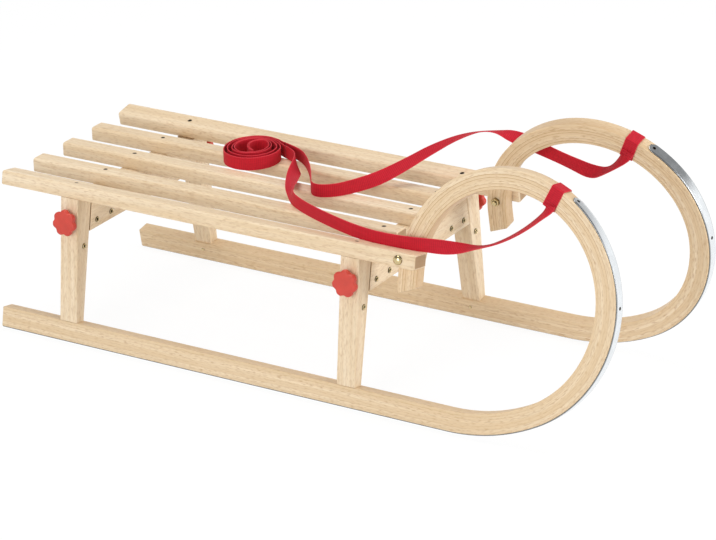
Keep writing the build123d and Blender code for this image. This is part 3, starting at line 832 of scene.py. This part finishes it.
def band(name, body, material, line, ways, nodes, closed=False):
    """Band of webbing along a line, its width pointing along ways; its weave is measured along and across it."""
    line, ways = np.asarray(line, float), np.asarray(ways, float)
    if closed:
        tangents = np.roll(line, -1, 0) - np.roll(line, 1, 0)
    else:
        tangents = np.gradient(line, axis=0)
    tangents /= np.linalg.norm(tangents, axis=1)[:, None]
    ways = ways - (ways * tangents).sum(1)[:, None] * tangents
    ways /= np.linalg.norm(ways, axis=1)[:, None]
    normals = np.cross(tangents, ways)
    along = np.concatenate([[0], np.cumsum(np.linalg.norm(np.diff(line, axis=0), axis=1))]) / MM
    outline = band_outline()
    rings, weave = [], []
    for point, way, normal, length in zip(line, ways, normals, along):
        rings.append([Vector(point + (way * u + normal * v) * MM) for u, v in outline])
        weave += [(length, u, v) for u, v in outline]
    if closed:
        rings.append(rings[0])
        weave += [(along[-1] + np.linalg.norm(line[0] - line[-1]) / MM, u, v) for u, v in outline]
    points, faces = skin(rings, capped=not closed)
    return build(name, body, "webbing", material, points, faces, (("weave", "FLOAT_VECTOR", weave),), nodes)


def roll_line():
    """Control points of the rolled-up length: in from the left run, round to its fold and out to the right run."""
    inward, outward = [], []
    for angle, *reaches in ROLL:
        for layer, reach in zip((inward, outward), reaches):
            layer.append(polar(*ROLL_MIDDLE, reach, angle))
    return [RUN_LEFT[-1][:2], ROLL_IN, *inward, *ROLL_FOLD, *reversed(outward), ROLL_OUT, RUN_RIGHT[-1][:2]]


class SLED_OT_stage(bpy.types.Operator):
    """Sets the camera, the floor and soft studio light"""

    bl_idname = "sled.stage"
    bl_label = "Stage"

    def execute(self, context):
        scene = context.scene
        settings = scene.sled_stage
        scene.view_settings.view_transform = "Standard"
        camera = bpy.data.cameras.new("camera")
        camera.sensor_fit, camera.sensor_width, camera.lens = "HORIZONTAL", CAMERA_SENSOR, CAMERA_LENS
        camera.clip_end = 60
        holder = bpy.data.objects.new("camera", camera)
        turn = Matrix((Vector(CAMERA_RIGHT), Vector(CAMERA_UP), -Vector(CAMERA_AHEAD))).transposed()
        holder.matrix_world = turn.to_4x4()
        holder.location = Vector(CAMERA_PLACE) * MM
        scene.collection.objects.link(holder)
        scene.camera = holder

        half = settings.floor / 2
        mesh = bpy.data.meshes.new("floor")
        corners = [(-half, -half, 0), (half, -half, 0), (half, half, 0), (-half, half, 0)]
        mesh.from_pydata(corners, [], [(0, 1, 2, 3)])
        mesh.materials.append(white_floor())
        floor = bpy.data.objects.new("floor", mesh)
        scene.collection.objects.link(floor)
        scene.world = studio(settings.ambient)

        # Each lamp's name, place, diameter and power; all are aimed at the sled's middle
        lamps = (
            ("key", (0.0, -3.6, 1.3), 2.0, settings.key),
            ("fill", (3.0, 0.8, 1.1), 1.8, settings.fill),
            ("top", (-0.6, 0.2, 3.7), 2.4, settings.top),
        )
        aim = Vector((0, 0, 0.2))
        for name, place, size, power in lamps:
            lamp = bpy.data.lights.new(name, "AREA")
            lamp.shape, lamp.size, lamp.energy = "DISK", size, power
            shade = bpy.data.objects.new(name, lamp)
            shade.rotation_euler = (Vector(place) - aim).to_track_quat("Z", "Y").to_euler()
            shade.location = place
            scene.collection.objects.link(shade)
        return {"FINISHED"}


class SLED_OT_strap(bpy.types.Operator):
    """Lays the webbing strap: two runs, the sewn loops round the horns and the rolled-up length"""

    bl_idname = "sled.strap"
    bl_label = "Strap"

    def execute(self, context):
        material = woven_webbing(context.scene.sled_strap)
        thread = sewing_thread(context.scene.sled_strap)
        roll_height = SEAT_HEIGHT + ROLL_CLEAR + WEBBING_WIDTH / 2
        roll_rows = [(*place, roll_height) for place in roll_line()]
        roll_points = nurbs_points("strap_line_roll", np.array(roll_rows) * MM)
        upright = np.tile((0, 0, 1.0), (len(roll_points), 1))
        roll = band("webbing_roll", "seat", material, roll_points, upright, ("strap_roll",))
        for (name, side), rows in zip(SIDES, (RUN_RIGHT, RUN_LEFT)):
            rows = np.array(rows, float)
            flank, way = self.flank(side, RUN_START[name], RUN_OFF)
            places = np.vstack([flank, rows[:, :3] * MM])
            ways = np.vstack([way, rows[:, 3:]])
            ways /= np.linalg.norm(ways, axis=1)[:, None]
            line = nurbs_points(f"strap_line_{name}", places)
            edge = nurbs_points(f"strap_edge_{name}", places + ways * WEBBING_WIDTH * MM / 2)
            piece = band(f"webbing_run_{name}", None, material, line, edge - line, (f"strap_run_{name}",))
            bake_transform(piece)
            self.loop(name, side, material)
            self.stitches(name, side, thread)
        return {"FINISHED"}

    def depth(self):
        """Depth of the horn's outer face at the loop."""
        return horn_depth(horn_point(HORN_MIDDLE_RADIUS, LOOP_ANGLE)[0])

    def flank(self, side, rise, off):
        """Point off the horn's flank at a rise above its inner face, and the way the webbing's edge points there."""
        x, height = horn_point(HORN_RADIUS - RUNNER_DEPTH + rise, LOOP_ANGLE)
        across = self.depth() - off if side < 0 else self.depth() + RUNNER_WIDTH + off
        lean = Vector((0, -side * LEAN_SIN, LEAN_COS))
        way = Vector((1, 0, 0)) * sin(radians(LOOP_ANGLE)) - lean * cos(radians(LOOP_ANGLE))
        return side_point(side, x, height, across), way

    def loop(self, name, side, material):
        """Loop of webbing round a horn, sewn to itself below."""
        corner, clear = 2.4, 0.1
        half = WEBBING_THICKNESS / 2 + clear
        low = (HORN_RADIUS - RUNNER_DEPTH - half, self.depth() - half)
        high = (HORN_RADIUS + half, self.depth() + RUNNER_WIDTH + half)
        line = []
        for radius, across in rounded(low, high, (corner,) * 4):
            line.append(side_point(side, *horn_point(radius, LOOP_ANGLE), across))
        _, way = self.flank(side, 0, 0)
        band(f"webbing_loop_{name}", f"side_{name}", material, line, [way] * len(line), (f"strap_loop_{name}",), True)

    def stitches(self, name, side, material):
        """Two rows of stitches that sew the run's end to the loop."""
        pitch, count = 3.4, 6
        stitch = ((0.1, -1.2, 0), (0.32, -0.9, 0), (0.4, 0, 0), (0.32, 0.9, 0), (0.1, 1.2, 0))
        parts = []
        for rise in (4.5, 9.5):
            point, way = self.flank(side, rise, STITCH_OFF)
            out = point - self.flank(side, rise, 0)[0]
            for step in range(count):
                middle = point + way * (step - (count - 1) / 2) * pitch * MM
                parts.append(turned(stitch, facing(middle, way, out), 8))
        build(f"loop_stitches_{name}", f"side_{name}", "webbing", material, *gather(parts))


class SLED_OT_runners(bpy.types.Operator):
    """Builds the bent runners and their horns"""

    bl_idname = "sled.runners"
    bl_label = "Runners"

    def execute(self, context):
        wood = context.scene.sled_wood
        material = beech("beech_bent_lacquered", wood, 3.4, wood.layer / MM)
        for name, side in SIDES:
            build_runner(name, side, material)
        return {"FINISHED"}


class SLED_OT_boards(bpy.types.Operator):
    """Builds the planed slats, legs and cross beams"""

    bl_idname = "sled.boards"
    bl_label = "Slats, legs and beams"

    def execute(self, context):
        wood = beech("beech_planed_lacquered", context.scene.sled_wood, 9)
        steel = phosphated_steel(context.scene.sled_metal)
        edges = (1.8,) * 4
        slats = (("slat_inner_right", -SLAT_PITCH), ("slat_middle", 0), ("slat_inner_left", SLAT_PITCH))
        for seed, (node, y) in enumerate(slats):
            def inner_place(along, u, v):
                return Vector((along, y + u, SEAT_HEIGHT - SLAT_THICKNESS + v)) * MM
            self.slat(node, "seat", wood, steel, SLAT_WIDTH, X_INNER_FRONT, inner_place, seed + 1)
        for name, side in SIDES:
            def outer_place(along, u, v):
                return side_point(side, along, OUTER_SLAT_HEIGHT + v, SLAT_MIDDLE - side * u)
            self.slat(f"slat_outer_{name}", f"side_{name}", wood, steel, OUTER_SLAT_WIDTH, X_SLAT_FRONT, outer_place,
                      5 + side)
        gap = LEG_INNER + BEAM_GAP
        low_y, top_y = (abs(side_point(1, 0, side_height(gap, z), gap).y) / MM for z in (BEAM_BOTTOM, BEAM_TOP))
        half, deep = BEAM_THICKNESS / 2, BEAM_TOP - BEAM_BOTTOM
        for seed, (name, x) in enumerate(BEAMS):
            def beam_place(along, u, v):
                reach = 1 + (top_y / low_y - 1) * v / deep
                return Vector((x - u, along * reach, BEAM_BOTTOM + v)) * MM
            board(f"beam_{name}", "seat", wood, (-half, 0), (half, deep), edges,
                  -low_y, low_y, beam_place, seed + 9, 1)
            for side_seed, (side_name, side) in enumerate(SIDES):
                def leg_place(along, u, v):
                    return side_point(side, x + side * u, along, v)
                board(f"leg_{name}_{side_name}", f"side_{side_name}", wood,
                      lambda along: (-LEG_WIDTH / 2, leg_outer(along)), lambda along: (LEG_WIDTH / 2, LEG_INNER),
                      edges, RUNNER_DEPTH, OUTER_SLAT_HEIGHT, leg_place, 13 + side_seed + 2 * seed, 0.3)
        return {"FINISHED"}

    def slat(self, node, body, wood, steel, width, x_front, place, seed):
        """Slat with soft upper edges, and the cross-headed screws that are sunk in it over the beams."""
        soft, plain, end_radius = 5, 1.5, 3
        holes = [(x, 0) for _, x in BEAMS]
        board(node, body, wood, (-width / 2, 0), (width / 2, SLAT_THICKNESS), (plain, plain, soft, soft),
              X_BACK, x_front, place, seed, end_radius, holes)
        # The fourth value of a row is painted shade, darkest in the screw head's cross recess
        rows = ((1.8, -3.4, 0), (3.7, -1.2, 0), (3.8, -0.7, 0), (3.5, -0.5, 0), (2.4, -0.5, 1.5, 0.6))
        rows += ((1.8, -1.8, 1.1, 1.0),)
        even = affine(place)
        heads = [turned(rows, even @ Matrix.Translation((along, u, SLAT_THICKNESS)), 32, 4) for along, u in holes]
        build(f"screws_{node}", body, "zinc_steel", steel, *gather(heads))


class SLED_OT_strips(bpy.types.Operator):
    """Lays the steel running strips and their screws"""

    bl_idname = "sled.strips"
    bl_label = "Running strips"

    def execute(self, context):
        steel = galvanised_steel(context.scene.sled_metal)
        dark = phosphated_steel(context.scene.sled_metal)
        # The fourth value of a row is painted shade in the screw head's cross recess
        rows = ((2.9, -0.2, 0), (2.9, 0.1, 0), (2.5, 0.3, 0), (1.7, 0.35, 1.0, 0.6), (1.4, 0.06, 0.8, 1.0))
        for name, side in SIDES:
            build_strip(name, side, steel)
            heads = []
            for angle in (56.5, 4):
                point, out = strip_place(side, angle, STRIP_THICKNESS)
                heads.append(turned(rows, facing(point, out, (0, 1, 0)), 32, 4))
            for x in (210, -20, -260, -400, -545):
                point = side_point(side, x, -STRIP_THICKNESS, RUNNER_WIDTH / 2)
                out = point - side_point(side, x, 0, RUNNER_WIDTH / 2)
                heads.append(turned(rows, facing(point, out), 32, 4))
            build(f"strip_screws_{name}", f"side_{name}", "zinc_steel", dark, *gather(heads))
        return {"FINISHED"}


class SLED_OT_hinges(bpy.types.Operator):
    """Fits the folding hinges: plates, pivot rivets and the rivets through the beams"""

    bl_idname = "sled.hinges"
    bl_label = "Hinges"

    def execute(self, context):
        zinc, yellow = bright_zinc(context.scene.sled_metal), yellow_zinc(context.scene.sled_metal)
        back, front = -BEAM_THICKNESS / 2 - PLATE_THICKNESS, LEG_WIDTH / 2
        # The fourth value of a row is painted shade with some tarnish, darkest where rivets and pins meet the plates
        # and in their hollows
        hollow = ((4.6, -0.3, 0, 1.0), (4.9, 0.4, 0, 1.0), (4.8, 1.2, 0, 1.0), (4.3, 1.7, 0, 0.2), (3.5, 1.8, 0))
        hollow += ((2.7, 1.3, 0, 0.6), (2.3, 0.2, 0, 1.0))
        button = ((5.6, -0.2, 0, 1.0), (5.6, 0.4, 0, 0.7), (4.9, 1.4, 0), (3.2, 2.1, 0), (1.2, 2.4, 0))
        pin = ((1.2, back - 2.3, 0), (3.4, back - 2, 0), (5.2, back - 1.2, 0), (5.6, back - 0.3, 0, 0.7))
        pin += ((5.6, back, 0, 1.0), (3.5, back, 0), (3.5, front, 0), (4.8, front + 0.1, 0, 1.0))
        pin += ((5.1, front + 0.8, 0, 0.9), (4.6, front + 1.7, 0), (3.7, front + 2, 0), (2.8, front + 1.5, 0, 0.2))
        pin += ((2.4, front + 0.4, 0, 1.0),)
        rivet_ends = ((BEAM_THICKNESS / 2, 1, hollow), (back, -1, button))
        upwards = (0, 0, 1)
        for name, x in BEAMS:
            for side_name, side in SIDES:
                corner = f"{name}_{side_name}"
                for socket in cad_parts[f"hinge_plate_{corner}"].material_slots:
                    socket.material = zinc
                pivot = facing(Vector((x, side * PIVOT_Y, PIVOT_Z)) * MM, (1, 0, 0), upwards)
                build(f"pivot_{corner}", "seat", "zinc_steel", yellow, *turned(pin, pivot),
                      nodes=(f"pivot_rivet_{corner}",))
                heads = []
                for y in BEAM_RIVETS:
                    for face, way, rows in rivet_ends:
                        place = Vector((x + face, side * y, PLATE_HEIGHT)) * MM
                        heads.append(turned(rows, facing(place, (way, 0, 0), upwards)))
                build(f"beam_rivets_{corner}", "seat", "zinc_steel", yellow, *gather(heads))
        return {"FINISHED"}


class SLED_OT_bolts(bpy.types.Operator):
    """Bolts the horns' ends to the outer slats, and pins the legs in the runners"""

    bl_idname = "sled.bolts"
    bl_label = "Bolts and pins"

    def execute(self, context):
        yellow = yellow_zinc(context.scene.sled_metal)
        tip, thread_pitch = -(OUTER_SLAT_WIDTH + RUNNER_WIDTH + NUT_HEIGHT + BOLT_PROUD), 1.25
        # The fourth value of a row is painted shade with some tarnish, in the threads, under the heads and in the
        # hollows
        bolt = [(3.1, tip, 0)]
        for step in range(8):
            bolt += [(4, tip + 0.6 + thread_pitch * step, 0), (3.4, tip + 1.2 + thread_pitch * step, 0, 0.8)]
        bolt += [(4, tip + 11, 0), (4, 0, 0), (7.9, 0, 0, 1.0), (8, 0.6, 0, 1.0), (7.8, 1.5, 0, 0.4)]
        bolt += [(7.1, 2.8, 0), (6, 3.8, 0), (4.4, 4.5, 0), (2.6, 4.9, 0), (0.8, 5, 0)]
        nut = ((6.3, 0, 0, 1.0), (7.5, 0.7, 0, 0.8), (7.5, NUT_HEIGHT - 0.7, 0), (6.3, NUT_HEIGHT, 0))
        nut += ((4.9, NUT_HEIGHT, 0), (4.1, NUT_HEIGHT - 0.6, 0, 1.0))
        pin = ((2.6, -0.2, 0, 1.0), (2.7, 0.5, 0, 0.8), (2.2, 0.9, 0), (1, 1.1, 0))
        for name, side in SIDES:
            body, out = f"side_{name}", side_normal(side)
            head = facing(side_point(side, X_BOLT, BOLT_HEIGHT, -SLAT_OVERHANG), out)
            build(f"bolt_{name}", body, "zinc_steel", yellow, *turned(bolt, head), nodes=(f"horn_bolt_{name}",))
            seat = facing(side_point(side, X_BOLT, BOLT_HEIGHT, LIMB_INSET + RUNNER_WIDTH), -out)
            build(f"nut_{name}", body, "zinc_steel", yellow, *turned(nut, seat, 48, 1, NUT_WIDTH),
                  nodes=(f"horn_nut_{name}",))
            pins = []
            for _, x in BEAMS:
                pins.append(turned(pin, facing(side_point(side, x, LEG_PIN_HEIGHT, RUNNER_WIDTH), -out), 24))
            build(f"leg_pins_{name}", body, "zinc_steel", yellow, *gather(pins))
        return {"FINISHED"}


class SLED_OT_knobs(bpy.types.Operator):
    """Screws the star knobs to the legs"""

    bl_idname = "sled.knobs"
    bl_label = "Knobs"

    def execute(self, context):
        settings = context.scene.sled_knob
        material = moulded_plastic(settings)
        lobes = 7
        crest, dip = settings.diameter / MM / 2, settings.dip / MM
        rows = ((10.2, 0, 0), (10.9, 0.4, 0), (11, 6.4, 0), (12, 7.1, 0), (crest - 4, 7.2, dip * 0.8))
        rows += ((crest - 1.4, 7.4, dip), (crest - 0.4, 8.2, dip), (crest, 9.6, dip), (crest, 14, dip))
        rows += ((crest - 0.3, 15.3, dip), (crest - 1.1, 16.4, dip), (crest - 2.3, 16.9, dip))
        rows += ((crest - 3.6, 17, dip * 0.9), (crest - 7, 16.9, dip * 0.45), (10, 16.7, 0), (5, 16.6, 0))
        rise = OUTER_SLAT_HEIGHT - RUNNER_DEPTH
        for side_name, side in SIDES:
            # Square to the leg's outer face, which spreads less than the side frame leans
            out_y, out_z = rise * LEAN_COS + SLAT_OVERHANG * LEAN_SIN, rise * LEAN_SIN - SLAT_OVERHANG * LEAN_COS
            for name, x in BEAMS:
                foot = side_point(side, x, KNOB_HEIGHT, leg_outer(KNOB_HEIGHT))
                place = facing(foot, (0, side * out_y, out_z), (0, 0, 1))
                build(f"knob_{name}_{side_name}_plastic", f"side_{side_name}", "knob_plastic", material,
                      *turned(rows, place, 84, lobes), nodes=(f"knob_{name}_{side_name}",))
        return {"FINISHED"}


class SLED_PT_looks(bpy.types.Panel):
    """Sidebar with the sled's steps and settings"""

    bl_label = "Horn sled"
    bl_space_type = "VIEW_3D"
    bl_region_type = "UI"
    bl_category = "Horn sled"

    def draw(self, context):
        for step in STEPS:
            self.layout.operator(step.bl_idname)
        for group, label in GROUPS.items():
            settings = getattr(context.scene, label)
            for name in group.__annotations__:
                self.layout.prop(settings, name)


GROUPS = {
    SledWood: "sled_wood",
    SledMetal: "sled_metal",
    SledKnob: "sled_knob",
    SledStrap: "sled_strap",
    SledStage: "sled_stage",
}
STEPS = (
    SLED_OT_stage, SLED_OT_strap, SLED_OT_runners, SLED_OT_boards, SLED_OT_strips, SLED_OT_hinges, SLED_OT_bolts,
    SLED_OT_knobs,
)


def register():
    """Registers the classes and hangs the settings on the scene."""
    for kind in (*GROUPS, *STEPS, SLED_PT_looks):
        bpy.utils.register_class(kind)
    for group, name in GROUPS.items():
        setattr(bpy.types.Scene, name, PointerProperty(type=group))


def unregister():
    """Takes the settings and the classes away again."""
    for name in GROUPS.values():
        delattr(bpy.types.Scene, name)
    for kind in (SLED_PT_looks, *reversed(STEPS), *reversed(list(GROUPS))):
        bpy.utils.unregister_class(kind)


def main():
    """Runs the steps in order."""
    register()
    for step in STEPS:
        area, name = step.bl_idname.split(".")
        getattr(getattr(bpy.ops, area), name)()


if __name__ == "__main__":
    main()
